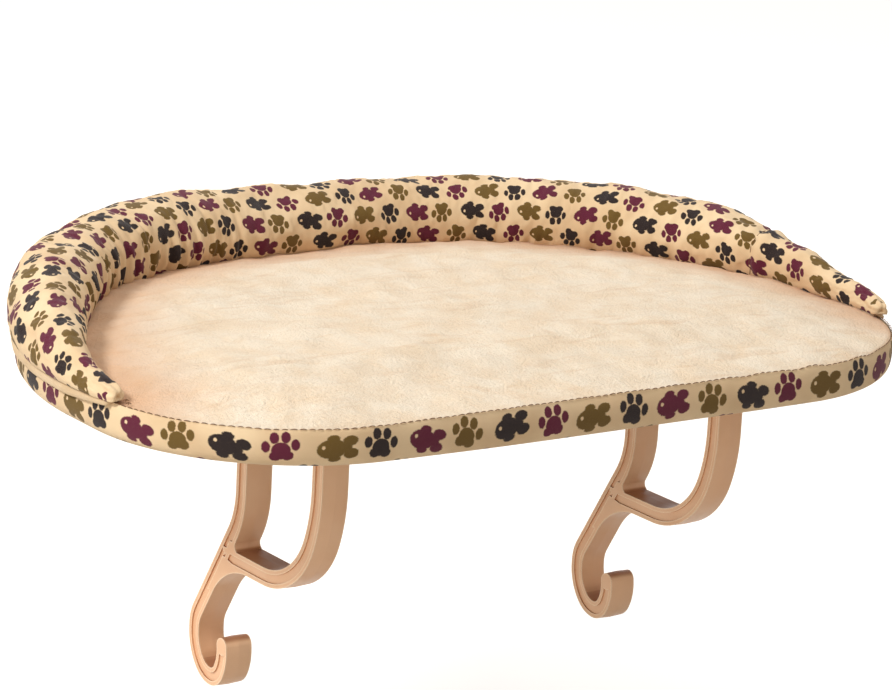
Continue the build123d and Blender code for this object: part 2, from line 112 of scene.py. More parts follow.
WORLD_LEVEL = 0.36

# Camera: where it stands, its turns in degrees, and its focal length and picture width in pixels
CAMERA_PLACE = (-1.5091, -2.2931, 0.7012)
CAMERA_YAW = 35.07
CAMERA_PITCH = 14.685
CAMERA_ROLL = 2.956
FOCAL_PX = 4000.0
WIDTH_PX = 892.0
SENSOR_MM = 36.0

# Cloth solver
CLOTH_QUALITY = 5
CLOTH_MASS = 0.25
CLOTH_AIR_DAMPING = 2.0
TINY = 1e-9


# ---------------- outline and meshes
def outline_runs():
    """Lines and arcs of the pad's plan outline, counter-clockwise from the front's left end."""
    half, front, rear = PAD_LENGTH / 2, Y_FRONT, Y_REAR
    rf, rr = FRONT_RADIUS, REAR_RADIUS
    return [
        ("line", (rf - half, front), (half - rf, front)),
        ("arc", (half - rf, front + rf), rf, -90, 0),
        ("line", (half, front + rf), (half, rear - rr)),
        ("arc", (half - rr, rear - rr), rr, 0, 90),
        ("line", (half - rr, rear), (rr - half, rear)),
        ("arc", (rr - half, rear - rr), rr, 90, 180),
        ("line", (-half, rear - rr), (-half, front + rf)),
        ("arc", (rf - half, front + rf), rf, 180, 270),
    ]


def run_length(run):
    """Length of a line or arc."""
    return math.dist(*run[1:]) if run[0] == "line" else run[2] * math.radians(abs(run[4] - run[3]))


def place_on(runs, left):
    """Point at a distance along lines and arcs, and the normal on its right."""
    for run in runs:
        length = run_length(run)
        if left <= length + TINY or run is runs[-1]:
            break
        left -= length
    share = min(1.0, left / length)
    if run[0] == "line":
        (x0, y0), (x1, y1) = run[1:]
        point = (x0 + (x1 - x0) * share, y0 + (y1 - y0) * share)
        return np.array(point), np.array(((y1 - y0) / length, -((x1 - x0) / length)))
    _, centre, radius, start, end = run
    a = math.radians(start + (end - start) * share)
    spoke = np.array((math.cos(a), math.sin(a)))
    return np.array(centre) + radius * spoke, (spoke if end > start else -spoke)


def walk(runs, count, closed=True):
    """Evenly spaced points, normals on their right, and run lengths along lines and arcs."""
    total = sum(run_length(run) for run in runs)
    places = total * np.arange(count) / (count if closed else count - 1)
    points, normals = zip(*(place_on(runs, s) for s in places))
    return np.array(points), np.array(normals), places, total


def placed(name, data):
    """New object of the given data, in the scene."""
    piece = bpy.data.objects.new(name, data)
    bpy.context.scene.collection.objects.link(piece)
    return piece


def new_mesh(name, verts, faces, uv=None):
    """Smoothly shaded mesh object, with an optional map in metres given per face corner."""
    mesh = bpy.data.meshes.new(name)
    mesh.from_pydata([tuple(v) for v in verts], [], [tuple(f) for f in faces])
    if uv is not None:
        layer = mesh.uv_layers.new(name="Run")
        layer.data.foreach_set("uv", np.asarray(uv, np.float32).ravel())
    mesh.update()
    mesh.polygons.foreach_set("use_smooth", [True] * len(mesh.polygons))
    return placed(name, mesh)


def tube_faces(rings, around):
    """Quads between successive closed rings of vertices."""
    faces = []
    for i in range(rings - 1):
        a, b = i * around, (i + 1) * around
        for j in range(around):
            k = (j + 1) % around
            faces.append((a + j, a + k, b + k, b + j))
    return faces


def positions(piece):
    """Vertex places of a piece, one row each."""
    co = np.empty(len(piece.data.vertices) * 3, np.float32)
    piece.data.vertices.foreach_get("co", co)
    return co.reshape(-1, 3).astype(float)


def set_positions(piece, co):
    """Move a piece's vertices to new places."""
    piece.data.vertices.foreach_set("co", np.asarray(co, np.float32).ravel())
    piece.data.update()


def weigh(piece, name, weights):
    """Vertex group with the given weights, for the solver."""
    group = piece.vertex_groups.new(name=name)
    for i, w in enumerate(weights):
        if w > 0:
            group.add([i], float(w), "REPLACE")


def inflate(
    piece, pinned, pressure, cap, frames, stiffness, bending=0.4, growth=None, most_growth=0.0
):
    """Swell a mesh with the cloth solver, pinned where the weights say, and keep the capped result."""
    rest = positions(piece)
    weigh(piece, "pins", pinned)
    cloth = piece.modifiers.new("cloth", "CLOTH")
    st = cloth.settings
    st.quality = CLOTH_QUALITY
    st.mass = CLOTH_MASS
    st.tension_stiffness = stiffness
    st.compression_stiffness = stiffness
    st.shear_stiffness = stiffness / 3
    st.bending_stiffness = bending
    st.air_damping = CLOTH_AIR_DAMPING
    st.use_pressure = True
    st.uniform_pressure_force = pressure
    st.vertex_group_mass = "pins"
    st.effector_weights.gravity = 0
    if growth is not None:
        weigh(piece, "growth", growth)
        st.vertex_group_shrink = "growth"
        st.shrink_min = 0.0
        st.shrink_max = -most_growth
    cloth.collision_settings.use_collision = False
    scene = bpy.context.scene
    scene.frame_start, scene.frame_end = 1, frames
    cloth.point_cache.frame_start, cloth.point_cache.frame_end = 1, frames
    for f in range(1, frames + 1):
        scene.frame_set(f)
    seen = piece.evaluated_get(bpy.context.evaluated_depsgraph_get())
    moved = positions(seen) - rest
    piece.modifiers.remove(cloth)
    scene.frame_set(1)
    far = np.linalg.norm(moved, axis=1)
    limit = np.broadcast_to(np.asarray(cap, float), far.shape)
    scale = np.where(far > limit, limit / np.maximum(far, TINY), 1.0)
    set_positions(piece, rest + moved * scale[:, None])


def smoothed(values, reach, **ends):
    """Running mean with bell-shaped weights, as long as the values."""
    kernel = np.hanning(2 * reach + 3)[1:-1]
    return np.convolve(np.pad(values, reach, **ends), kernel / kernel.sum(), "valid")


def wave_noise(co, scale, seed):
    """Smooth noise from a few seeded sine waves, about -1 to 1, at points in metres."""
    waves, level = 9, 4.0
    rng = np.random.default_rng(seed)
    total = np.zeros(len(co))
    for _ in range(waves):
        d = rng.normal(size=3)
        d *= rng.uniform(0.6, 1.5) / (np.linalg.norm(d) * scale)
        total += np.sin(co @ d * 2 * math.pi + rng.uniform(0, 2 * math.pi))
    return total / level


# ---------------- materials
def srgb(r, g, b):
    """Colour of 0 to 255 screen values as linear numbers."""
    out = []
    for c in (r, g, b):
        c /= 255
        out.append(c / 12.92 if c <= 0.04045 else ((c + 0.055) / 1.055) ** 2.4)
    return (*out, 1.0)


def node(tree, kind, values=(), **settings):
    """New shader node, with its sockets set or linked in turn or by name."""
    n = tree.nodes.new("ShaderNode" + kind)
    for key, setting in settings.items():
        setattr(n, key, setting)
    for key, value in values.items() if isinstance(values, dict) else enumerate(values):
        if isinstance(value, bpy.types.NodeSocket):
            tree.links.new(value, n.inputs[key])
        elif value is not None:
            n.inputs[key].default_value = value
    return n


def cleared(owner):
    """Empty node tree of a material or world."""
    owner.use_nodes = True
    owner.node_tree.nodes.clear()
    return owner.node_tree


class Tree:
    """Shorthand for writing a material's nodes as formulas."""

    def __init__(self, name, roughness, metallic=0.0, sheen=0.0, specular=0.5):
        self.material = bpy.data.materials.new(name)
        self.tree = cleared(self.material)
        self.shader = self.node(
            "BsdfPrincipled",
            {
                "Roughness": roughness,
                "Metallic": metallic,
                "Sheen Weight": sheen,
                "Sheen Roughness": 0.5,
                "Specular IOR Level": specular,
            },
        )
        self.node("OutputMaterial", (self.shader.outputs[0],))

    def node(self, kind, values=(), **settings):
        return node(self.tree, kind, values, **settings)

    def math(self, op, a, b=None):
        """Arithmetic on one or two numbers."""
        return self.node("Math", (a, b), operation=op).outputs[0]

    def add(self, a, b):
        return self.math("ADD", a, b)

    def sub(self, a, b):
        return self.math("SUBTRACT", a, b)

    def mul(self, a, b):
        return self.math("MULTIPLY", a, b)

    def vec(self, op, a, b=None):
        """Arithmetic on vectors."""
        n = self.node("VectorMath", {0: a, "Scale" if op == "SCALE" else 1: b}, operation=op)
        return n.outputs["Value"] if op in ("LENGTH", "DOT_PRODUCT") else n.outputs[0]

    def join(self, x, y, z=0.0):
        """Vector from three numbers."""
        return self.node("CombineXYZ", (x, y, z)).outputs[0]

    def parts(self, v):
        """The three numbers of a vector."""
        return self.node("SeparateXYZ", (v,)).outputs

    def place(self):
        """Object coordinates, in metres."""
        return self.node("TexCoord").outputs["Object"]

    def run(self):
        """Coordinates along the cloth, in metres."""
        return self.node("UVMap", uv_map="Run").outputs[0]

    def noise(self, vector, scale, detail=2.0, rough=0.5, distortion=0.0):
        """Smooth noise from 0 to 1, with scale in cells per metre."""
        values = {"Vector": vector, "Scale": scale, "Detail": detail, "Roughness": rough}
        return self.node("TexNoise", {**values, "Distortion": distortion}).outputs["Fac"]

    def scatter(self, vector):
        """Random colour for a cell's coordinates."""
        return self.node("TexWhiteNoise", {"Vector": vector}, noise_dimensions="3D").outputs["Color"]

    def ramp(self, value, low, high, start=0.0, end=1.0):
        """Smooth step from start, at low, to end, at high."""
        values = {"Value": value, "From Min": low, "From Max": high, "To Min": start, "To Max": end}
        return self.node("MapRange", values, interpolation_type="SMOOTHSTEP").outputs[0]

    def mix(self, share, a, b):
        """Colour a turning into colour b as share goes from 0 to 1."""
        return self.node("Mix", {"Factor": share, 6: a, 7: b}, data_type="RGBA").outputs[2]

    def bump(self, height, strength, distance):
        """Normal of a surface relieved by a height."""
        return self.node("Bump", {"Height": height, "Strength": strength, "Distance": distance}).outputs[0]

    def finish(self, colour, normal, roughness=None):
        """Connect the shader and hand over the material."""
        for key, value in (("Base Color", colour), ("Normal", normal), ("Roughness", roughness)):
            if value is not None:
                self.tree.links.new(value, self.shader.inputs[key])
        return self.material


def weave_height(t, where, pitch):
    """Plain weave height from -1 to 1 at coordinates in metres."""
    x, y, _ = t.parts(where)
    turn = 2 * math.pi / pitch
    return t.mul(t.math("SINE", t.mul(x, turn)), t.math("SINE", t.mul(y, turn)))


def blob(t, p, ellipse):
    """Signed distance to an ellipse, about, in units of the print."""
    centre, radii = ellipse
    q = t.vec("DIVIDE", t.vec("SUBTRACT", p, (*centre, 0.0)), (*radii, 1.0))
    return t.mul(t.sub(t.vec("LENGTH", q), 1.0), min(radii))


def blobs(t, p, ellipses):
    """Signed distance to ellipses taken together."""
    nearest = blob(t, p, ellipses[0])
    for ellipse in ellipses[1:]:
        nearest = t.math("MINIMUM", nearest, blob(t, p, ellipse))
    return nearest


def printed_cloth(name, repeat, row_shift):
    """Cream cotton with staggered paw and fish shapes in three inks, and painted shade in the weave's low
    points.
    """
    pitch, row_height, unit = repeat
    t = Tree(name, roughness=0.86, sheen=0.12, specular=0.25)
    run = t.run()
    u, v, _ = t.parts(run)
    # Cell of the print: every other row stands half a cell along
    across = t.math("DIVIDE", t.add(v, row_shift), row_height)
    row = t.math("FLOOR", across)
    odd = t.math("MODULO", t.add(row, CELL_LIFT), 2.0)
    along = t.add(t.math("DIVIDE", u, pitch), t.mul(odd, 0.5))
    column = t.math("FLOOR", along)
    # Place in the cell from the shape's own middle, which strays and turns at random
    rx, ry, rz = t.parts(t.scatter(t.join(column, row, PRINT_SEED)))
    x = t.mul(t.sub(t.sub(along, column), 0.5), pitch / MM / unit)
    y = t.mul(t.sub(t.sub(across, row), 0.5), row_height / MM / unit)
    x = t.add(x, t.mul(t.sub(rx, 0.5), PRINT_STRAY[0]))
    y = t.add(y, t.mul(t.sub(ry, 0.5), PRINT_STRAY[1]))
    turn = t.mul(t.sub(rz, 0.5), PRINT_TURN)
    ca, sa = t.math("COSINE", turn), t.math("SINE", turn)
    xr = t.sub(t.mul(x, ca), t.mul(y, sa))
    yr = t.add(t.mul(x, sa), t.mul(y, ca))
    # Paws and fish take turns, and the inks go round in threes
    paw = blobs(t, t.join(t.math("ABSOLUTE", xr), yr), PAW)
    fish = blobs(t, t.join(xr, t.math("ABSOLUTE", yr)), FISH)
    fish = t.math("MAXIMUM", fish, t.mul(blob(t, t.join(xr, yr), FISH_EYE), -1.0))
    parity = t.math("MODULO", t.add(t.add(column, row), CELL_LIFT), 2.0)
    shape = t.add(t.mul(paw, parity), t.mul(fish, t.sub(1.0, parity)))
    shape = t.add(shape, t.mul(t.sub(t.noise(run, 900.0), 0.5), PRINT_FRAY))
    inside = t.ramp(shape, -0.35, 0.35, 1.0, 0.0)
    third = t.math("MODULO", t.add(t.add(column, t.mul(row, 2.0)), CELL_LIFT), 3.0)
    ink = t.mix(t.ramp(third, 0.4, 0.6), srgb(*INK_BLACK), srgb(*INK_PLUM))
    ink = t.mix(t.ramp(third, 1.4, 1.6), ink, srgb(*INK_OLIVE))
    mottle = t.noise(t.place(), 26.0, 3.0)
    ground = t.mix(t.ramp(mottle, 0.3, 0.7), srgb(225, 195, 155), srgb(239, 213, 174))
    wear = t.noise(run, 2600.0, 1.0)
    ink = t.mix(t.mul(t.ramp(wear, 0.58, 0.85), 0.22), ink, ground)
    weave = weave_height(t, run, PRINT_WEAVE)
    colour = t.mix(inside, ground, ink)
    # Painted shade: the weave's low points are darkened brown
    colour = t.mix(t.ramp(weave, -1.0, 1.0, 0.12, 0.0), colour, srgb(96, 74, 44))
    height = t.add(t.mul(weave, 0.5), t.noise(run, 1400.0))
    return t.finish(colour, t.bump(height, 0.35, 0.0004))


def plain_cloth(name, colour, other, pitch=0.0012, use_run=True):
    """Plain woven cloth with a little variation, and painted shade in the weave's low points."""
    t = Tree(name, roughness=0.88, sheen=0.1, specular=0.25)
    where = t.run() if use_run else t.place()
    weave = weave_height(t, where, pitch)
    mottle = t.noise(t.place(), 40.0, 4.0)
    base = t.mix(t.ramp(mottle, 0.3, 0.7), colour, other)
    # Painted shade: the weave's low points are darkened brown
    base = t.mix(t.ramp(weave, -1.0, 1.0, 0.25, 0.0), base, srgb(70, 56, 38))
    height = t.add(weave, t.noise(where, 1200.0))
    return t.finish(base, t.bump(height, 0.5, 0.0004))


def fleece_cloth():
    """Short brushed pile: cream with faint brushed streaks, and painted shade where it meets the bolster and
    along its seam edge.
    """
    t = Tree("fleece", roughness=0.95, sheen=0.25, specular=0.1)
    place = t.place()
    foot, rim, _ = t.parts(t.run())
    drift = t.join(t.noise(place, 9.0), t.noise(t.vec("ADD", place, (5.0, 1.0, 0.0)), 9.0))
    wx, wy, wz = t.parts(t.vec("ADD", place, t.vec("SCALE", drift, 0.03)))
    streaks = t.noise(t.join(t.mul(wx, 0.22), wy, wz), 70.0, 5.0, 0.62, 0.8)
    clumps = t.noise(place, 34.0, 4.0, 0.6, 0.4)
    tufts = t.noise(place, 380.0, 3.0, 0.65)
    fibres = t.noise(t.join(t.mul(wx, 0.4), wy, wz), 1300.0, 2.0, 0.7)
    base = t.mix(t.ramp(clumps, 0.30, 0.70), srgb(247, 225, 195), srgb(253, 239, 217))
    base = t.mix(t.ramp(streaks, 0.52, 0.72, 0.0, 0.40), base, srgb(226, 190, 148))
    base = t.mix(t.ramp(tufts, 0.52, 0.80, 0.0, 0.28), base, srgb(216, 182, 142))
    base = t.mix(t.ramp(fibres, 0.45, 0.80, 0.0, 0.35), base, srgb(255, 247, 232))
    # Painted shade: a warm brown tint spreads from the bolster's foot, with a darker painted contact shadow
    # right at the foot
    base = t.mix(t.ramp(foot, 0.0, 0.080, 0.68, 0.0), base, srgb(222, 160, 106))
    base = t.mix(t.ramp(foot, 0.0, 0.009, 0.34, 0.0), base, srgb(150, 88, 56))
    # Painted shade: browner along the seam edge, where the fleece tucks under
    base = t.mix(t.ramp(rim, 0.0, 0.0035, 0.50, 0.0), base, srgb(190, 146, 98))
    height = t.add(t.mul(tufts, 1.2), t.add(fibres, t.mul(clumps, 1.5)))
    return t.finish(base, t.bump(height, 0.8, 0.0018))


def bracket_plastic():
    """Satin moulded plastic, with a painted highlight on its edges, painted shade in its grooves and a
    painted shadow on its upward faces.
    """
    t = Tree("bracket_plastic", roughness=0.45, specular=0.45)
    place = t.place()
    tone = t.noise(place, 22.0, 3.0)
    base = t.mix(t.ramp(tone, 0.3, 0.7), srgb(231, 183, 143), srgb(238, 195, 157))
    facing = t.node("NewGeometry").outputs["Normal"]
    rounded = t.node("Bevel", {"Radius": 0.0018}, samples=4)
    turned = t.vec("DOT_PRODUCT", rounded.outputs[0], facing)
    # Painted shade: browner in grooves and hollows, by ambient occlusion
    hollow = t.node("AmbientOcclusion", {"Distance": 0.006}, samples=6).outputs["AO"]
    shade = t.ramp(hollow, 0.35, 0.85, 0.60, 0.0)
    base = t.mix(shade, base, srgb(192, 124, 72))
    # Painted shadow: faces that point up, such as the crossbar's top under the pad, are darkened
    _, _, up = t.parts(facing)
    base = t.mix(t.ramp(up, 0.45, 0.90, 0.0, 0.70), base, srgb(140, 74, 40))
    # Painted highlight: a pale line on rounded edges, where the bevelled normal turns away from the true
    # normal, less in hollows
    edge = t.mul(t.ramp(turned, 0.86, 0.992, 0.95, 0.0), t.ramp(hollow, 0.55, 0.85))
    base = t.mix(edge, base, srgb(255, 232, 202))
    rough = t.ramp(t.noise(place, 60.0), 0.3, 0.7, 0.38, 0.52)
    return t.finish(base, t.bump(t.noise(place, 1600.0), 0.25, 0.0002), rough)


def zinc(name, base, other, roughness=0.35):
    """Plated metal with fine scratches and a mottled plating."""
    t = Tree(name, roughness=roughness, metallic=1.0)
    place = t.place()
    blot = t.noise(place, 300.0, 3.0, 0.6, 0.5)
    colour = t.mix(t.ramp(blot, 0.35, 0.65), base, other)
    scratch = t.noise(t.vec("MULTIPLY", place, (1.0, 0.08, 1.0)), 6000.0)
    rough = t.ramp(blot, 0.3, 0.7, roughness - 0.08, roughness + 0.12)
    return t.finish(colour, t.bump(scratch, 0.2, 0.0001), rough)


def moulded(name, base, other, scale, roughness, depth=0.0002):
    """Fine grained plastic, foam, board or tape."""
    t = Tree(name, roughness=roughness, specular=0.4)
    place = t.place()
    grain = t.noise(place, scale, 3.0, 0.65)
    colour = t.mix(t.ramp(grain, 0.35, 0.65), base, other)
    return t.finish(colour, t.bump(grain, 0.5, depth))


def hooked(name, base, other, pitch):
    """Rows of tiny hooks or loops on a tape."""
    t = Tree(name, roughness=0.8, specular=0.2, sheen=0.1)
    dots = weave_height(t, t.place(), pitch)
    fuzz = t.noise(t.place(), 2200.0)
    colour = t.mix(t.ramp(dots, -0.2, 0.8), base, other)
    return t.finish(colour, t.bump(t.add(dots, fuzz), 0.7, 0.0004))


# The boxing's pitch is trimmed so that its print closes on itself round the pad
AROUND = 440
edge, edge_normals, edge_places, edge_total = walk(outline_runs(), AROUND)
cells = CELLS_A_REPEAT * round(edge_total / BOXING_PRINT[0] / CELLS_A_REPEAT)
BAND_PRINT = printed_cloth("printed_band_cloth", (edge_total / cells, *BOXING_PRINT[1:]), BOXING_ROW_SHIFT)
TUBE_PRINT = printed_cloth("printed_bolster_cloth", BOLSTER_PRINT, BOLSTER_ROW_SHIFT)
FLEECE = fleece_cloth()
HEM = plain_cloth("hem_cloth", srgb(229, 199, 158), srgb(241, 215, 178))
THREAD = moulded("dark_thread", srgb(92, 60, 36), srgb(120, 82, 50), 3000.0, 0.75)


def paint(material, *names):
    """Give CAD nodes a material."""
    for name in names:
        data = nodes[name].data
        data.materials.clear()
        data.materials.append(material)


paint(bracket_plastic(), "left_bracket", "right_bracket")
paint(
    zinc("zinc_plate", srgb(196, 196, 192), srgb(214, 214, 210)),
    "carriage_bolts",
    "flat_washers",
    *(f"{side}_{end}_wing_nut" for side in ("left", "right") for end in ("rear", "front")),
)
paint(
    plain_cloth("underside_cloth", srgb(176, 156, 118), srgb(190, 170, 132), 0.0014, use_run=False),
    "cover_underside",
)
paint(moulded("board", srgb(190, 154, 106), srgb(160, 122, 78), 500.0, 0.8, 0.0004), "base_board")
paint(moulded("foam", srgb(236, 222, 180), srgb(222, 204, 158), 1200.0, 0.9, 0.0005), "foam_pad")
paint(
    plain_cloth("zipper_cloth", srgb(214, 196, 156), srgb(226, 210, 172), 0.0010, use_run=False),
    "zipper_tape_front",
    "zipper_tape_rear",
)
paint(moulded("zipper_teeth", srgb(206, 186, 144), srgb(222, 204, 164), 1500.0, 0.4), "zipper_teeth")
paint(
    zinc("zipper_metal", srgb(176, 168, 150), srgb(200, 194, 180), 0.3),
    "zipper_stops",
    "zipper_slider",
    "zipper_pull",
)
paint(hooked("hook_side", srgb(206, 200, 186), srgb(238, 234, 224), 0.0016), "hook_tape")
paint(hooked("loop_side", srgb(214, 208, 196), srgb(240, 237, 230), 0.0012), "loop_tape")
paint(moulded("adhesive", srgb(232, 230, 220), srgb(242, 240, 232), 700.0, 0.6), "adhesive_tape")


# ---------------- shapes of the stuffed cloth
# Boxing from its top seam: drop, reach outward, and share of the front's sag that it takes
BAND_PROFILE = (
    (0.0000, 0.0000, 0.00),
    (0.0016, 0.0012, 0.00),
    (0.0054, 0.0021, 0.05),
    (0.0100, 0.0024, 0.15),
    (0.0146, 0.0021, 0.40),
    (0.0184, 0.0012, 0.75),
    (0.0212, -0.0006, 0.95),
    (0.0231, -0.0032, 1.00),
    (0.0240, -0.0070, 0.90),
    (0.0241, -0.0115, 0.45),
    (0.0240, -0.0160, 0.00),
)
FRONT_SAG = 0.0036
# How far the bolster runs on round each front corner, in degrees
LEFT_TIP_ANGLE = 9.0
RIGHT_TIP_ANGLE = 20.0
# Bolster from each tip: distance along the outline, tube radius, middle's distance in from the outline
LEFT_TUBE = (
    (0.000, 0.0060, 0.0005),
    (0.049, 0.0120, 0.0030),
    (0.097, 0.0195, 0.0090),
    (0.146, 0.0245, 0.0150),
    (0.194, 0.0278, 0.0175),
    (0.243, 0.0284, 0.0180),
    (0.300, 0.0292, 0.0180),
    (0.360, 0.0312, 0.0195),
    (0.400, 0.0315, 0.0205),
    (0.500, 0.0290, 0.0170),
)
RIGHT_TUBE = (
    (0.000, 0.0062, 0.0005),
    (0.051, 0.0112, 0.0028),
    (0.103, 0.0180, 0.0035),
    (0.155, 0.0245, 0.0065),
    (0.206, 0.0278, 0.0095),
    (0.258, 0.0290, 0.0122),
    (0.310, 0.0290, 0.0140),
    (0.413, 0.0282, 0.0158),
    (0.540, 0.0290, 0.0170),
)
TUBE_STEPS = 430
TUBE_AROUND = 48
# Where the two tables give way to each other, along the outline from both tips
BLEND_FROM = 0.40
# Share of its radius that the tube is cut to, before it is swollen
CUT_SHARE = 0.96
# Angles round the tube from its foot on, where 0 is its outer side, and the same with none below 0
TUBE_ANGLES = 2 * math.pi * np.arange(TUBE_AROUND) / TUBE_AROUND - math.pi / 2
WRAPPED_ANGLES = np.where(TUBE_ANGLES < 0, TUBE_ANGLES + 2 * math.pi, TUBE_ANGLES)
# Share of the tube's radius by which its foot reaches in over the fleece
FOOT_REACH = 0.80
# Cross seam: place, bow, depth and width of its pinch, and height, offset and width of its ridge
SEAM_FROM_RIGHT_TIP = 0.130
SEAM_BOW = 0.004
SEAM_PINCH, PINCH_WIDTH = 0.0026, 0.0028
SEAM_RIDGE, RIDGE_OFFSET, RIDGE_WIDTH = 0.0016, 0.0080, 0.0050
# Pleats of the gathered tips: their number, depth as a share of the radius, and reach
PLEATS = 7
GATHER_DEPTH = 0.14
GATHER_REACH = 0.016
# Rows that close a tip: girth left, and distance past the last ring in radii
TIP_ROWS = ((0.93, 0.42), (0.74, 0.78), (0.46, 0.92), (0.20, 0.70))
TIP_HUB = 0.45
PLEAT_DEPTH = 0.16

# Fleece: spacing of its points, height of a triangle of them, and how far they are jostled
FLEECE_STEP = 0.0052
TRIANGLE_HEIGHT = 0.866
FLEECE_JOSTLE = 0.0008
FLEECE_CLEAR = 0.0055
RIM_INSETS = (0.0002, 0.0028)
RIM_TUCK = 0.0012

HEM_STEPS = 340
STITCH_RADIUS = 0.00030
STITCH_LENGTH = 0.0042
STITCH_GAP = 0.0012
STITCH_SINK = 0.0006
STITCH_OUT = 0.0007


def crown(depth_in):
    """Height of the fleece over its seam at a distance in from the edge."""
    share = np.clip(depth_in / CROWN_RUN, 0, 1)
    return (Z_CROWN - Z_SEAM) * (1 - (1 - share) ** CROWN_POWER)


def edge_distance(points):
    """Distance of plan points inward from the pad's outline."""
    half = PAD_LENGTH / 2
    p = np.asarray(points, float)
    d = np.minimum.reduce([p[:, 0] + half, half - p[:, 0], p[:, 1] - Y_FRONT, Y_REAR - p[:, 1]])
    for sx in (-1, 1):
        for radius, cy, sy in (
            (FRONT_RADIUS, Y_FRONT + FRONT_RADIUS, -1),
            (REAR_RADIUS, Y_REAR - REAR_RADIUS, 1),
        ):
            cx = sx * (half - radius)
            zone = (sx * (p[:, 0] - cx) > 0) & (sy * (p[:, 1] - cy) > 0)
            reach = radius - np.hypot(p[:, 0] - cx, p[:, 1] - cy)
            d = np.where(zone, reach, d)
    return d


def bolster_runs():
    """The part of the outline that the bolster follows, from its left tip round the rear to its right tip."""
    half = PAD_LENGTH / 2
    y_corner = Y_FRONT + FRONT_RADIUS
    left, right = (FRONT_RADIUS - half, y_corner), (half - FRONT_RADIUS, y_corner)
    y_rear_corner = Y_REAR - REAR_RADIUS
    return [
        ("arc", left, FRONT_RADIUS, 180 + LEFT_TIP_ANGLE, 180),
        ("line", (-half, y_corner), (-half, y_rear_corner)),
        ("arc", (REAR_RADIUS - half, y_rear_corner), REAR_RADIUS, 180, 90),
        ("line", (REAR_RADIUS - half, Y_REAR), (half - REAR_RADIUS, Y_REAR)),
        ("arc", (half - REAR_RADIUS, y_rear_corner), REAR_RADIUS, 90, 0),
        ("line", (half, y_rear_corner), (half, y_corner)),
        ("arc", right, FRONT_RADIUS, 0, -RIGHT_TIP_ANGLE),
    ]


def tube_line(steps):
    """Bolster stations: outline points, outward normals, run, tube radius and middle's distance in."""
    points, normals, places, total = walk(bolster_runs(), steps, closed=False)
    from_left, from_right = places, total - places
    left, right = np.array(LEFT_TUBE), np.array(RIGHT_TUBE)
    share = np.clip((from_left - BLEND_FROM) / (total - 2 * BLEND_FROM), 0, 1)
    share = share * share * (3 - 2 * share)
    lines = []
    for column in (1, 2):
        on_left = np.interp(from_left, left[:, 0], left[:, column])
        on_right = np.interp(from_right, right[:, 0], right[:, column])
        value = on_left * (1 - share) + on_right * share
        lines.append(smoothed(value, 7, mode="reflect", reflect_type="odd"))
    return points, -normals, places, total, lines[0], lines[1]


tube_points, tube_normals, tube_places, tube_total, tube_radii, tube_insets = tube_line(TUBE_STEPS)
tube_centres = tube_points - tube_normals * tube_insets[:, None]


def foot_distance(points):
    """Distance of plan points from the bolster's foot, toward the middle of the pad."""
    p = np.asarray(points, float)
    least = np.full(len(p), 1.0)
    for centre, radius in zip(tube_centres[::2], tube_radii[::2]):
        least = np.minimum(least, np.hypot(p[:, 0] - centre[0], p[:, 1] - centre[1]) - radius * FOOT_REACH)
    return np.maximum(least, 0.0)


def flipped(pts, face):
    """True for a face that runs clockwise in plan."""
    a, b, c = (pts[i] for i in face[:3])
    return (b[0] - a[0]) * (c[1] - a[1]) - (b[1] - a[1]) * (c[0] - a[0]) < 0


def front_sag(points):
    """How far the slack boxing hangs under the board's edge: most along the front, a little elsewhere."""
    p = np.asarray(points)
    along = np.exp(-(((p[:, 0] - 0.04) / 0.21) ** 4))
    front = np.clip((-p[:, 1] - 0.20) / 0.08, 0, 1)
    return FRONT_SAG * (0.2 + 0.8 * along * front)


def seam_wave(points):
    """Slight rise and fall of the front seam, strongest toward its right end."""
    x = np.asarray(points)[:, 0]
    strength = 0.25 + 0.75 * np.exp(-(((x - 0.17) / 0.07) ** 2))
    front = np.clip(-np.asarray(points)[:, 1] / 0.1 - 1.2, 0, 1)
    return 0.0006 * strength * front * (np.sin(x / 0.0062) + 0.6 * np.sin(x / 0.0037 + 1.3))


